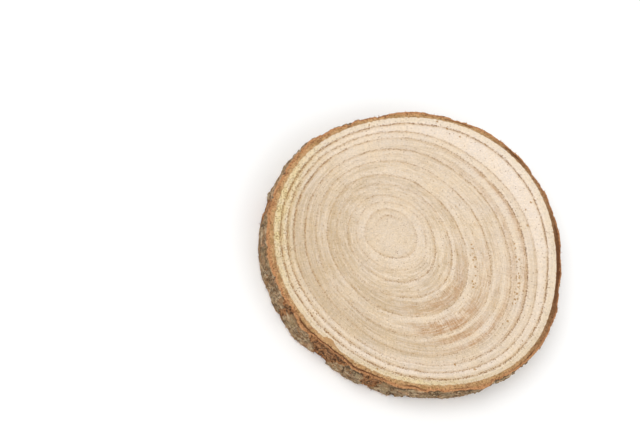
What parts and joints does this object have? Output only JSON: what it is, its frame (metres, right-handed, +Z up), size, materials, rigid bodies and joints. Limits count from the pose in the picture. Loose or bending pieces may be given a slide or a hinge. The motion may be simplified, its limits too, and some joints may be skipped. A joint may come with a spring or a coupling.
{
  "type": "wood slice",
  "caption": "Thin round slice sawn across a small trunk, with two flat faces showing off-centre growth rings and a weathered rim of bark.",
  "frame": {"origin": "middle of the underside: the centre of the outline's box, at the lower sawn face", "axes": "+Z up through the thickness, from the lower sawn face to the upper one; +X along the slice's longer width"},
  "size_m": [0.0984, 0.0914, 0.011],
  "materials": {
    "wood": "raw sawn and lightly sanded, matte",
    "bark": "raw grey-brown bark, rough and matte"
  },
  "bodies": {
    "root": {"wood_slice": "wood"}
  },
  "joints": []
}
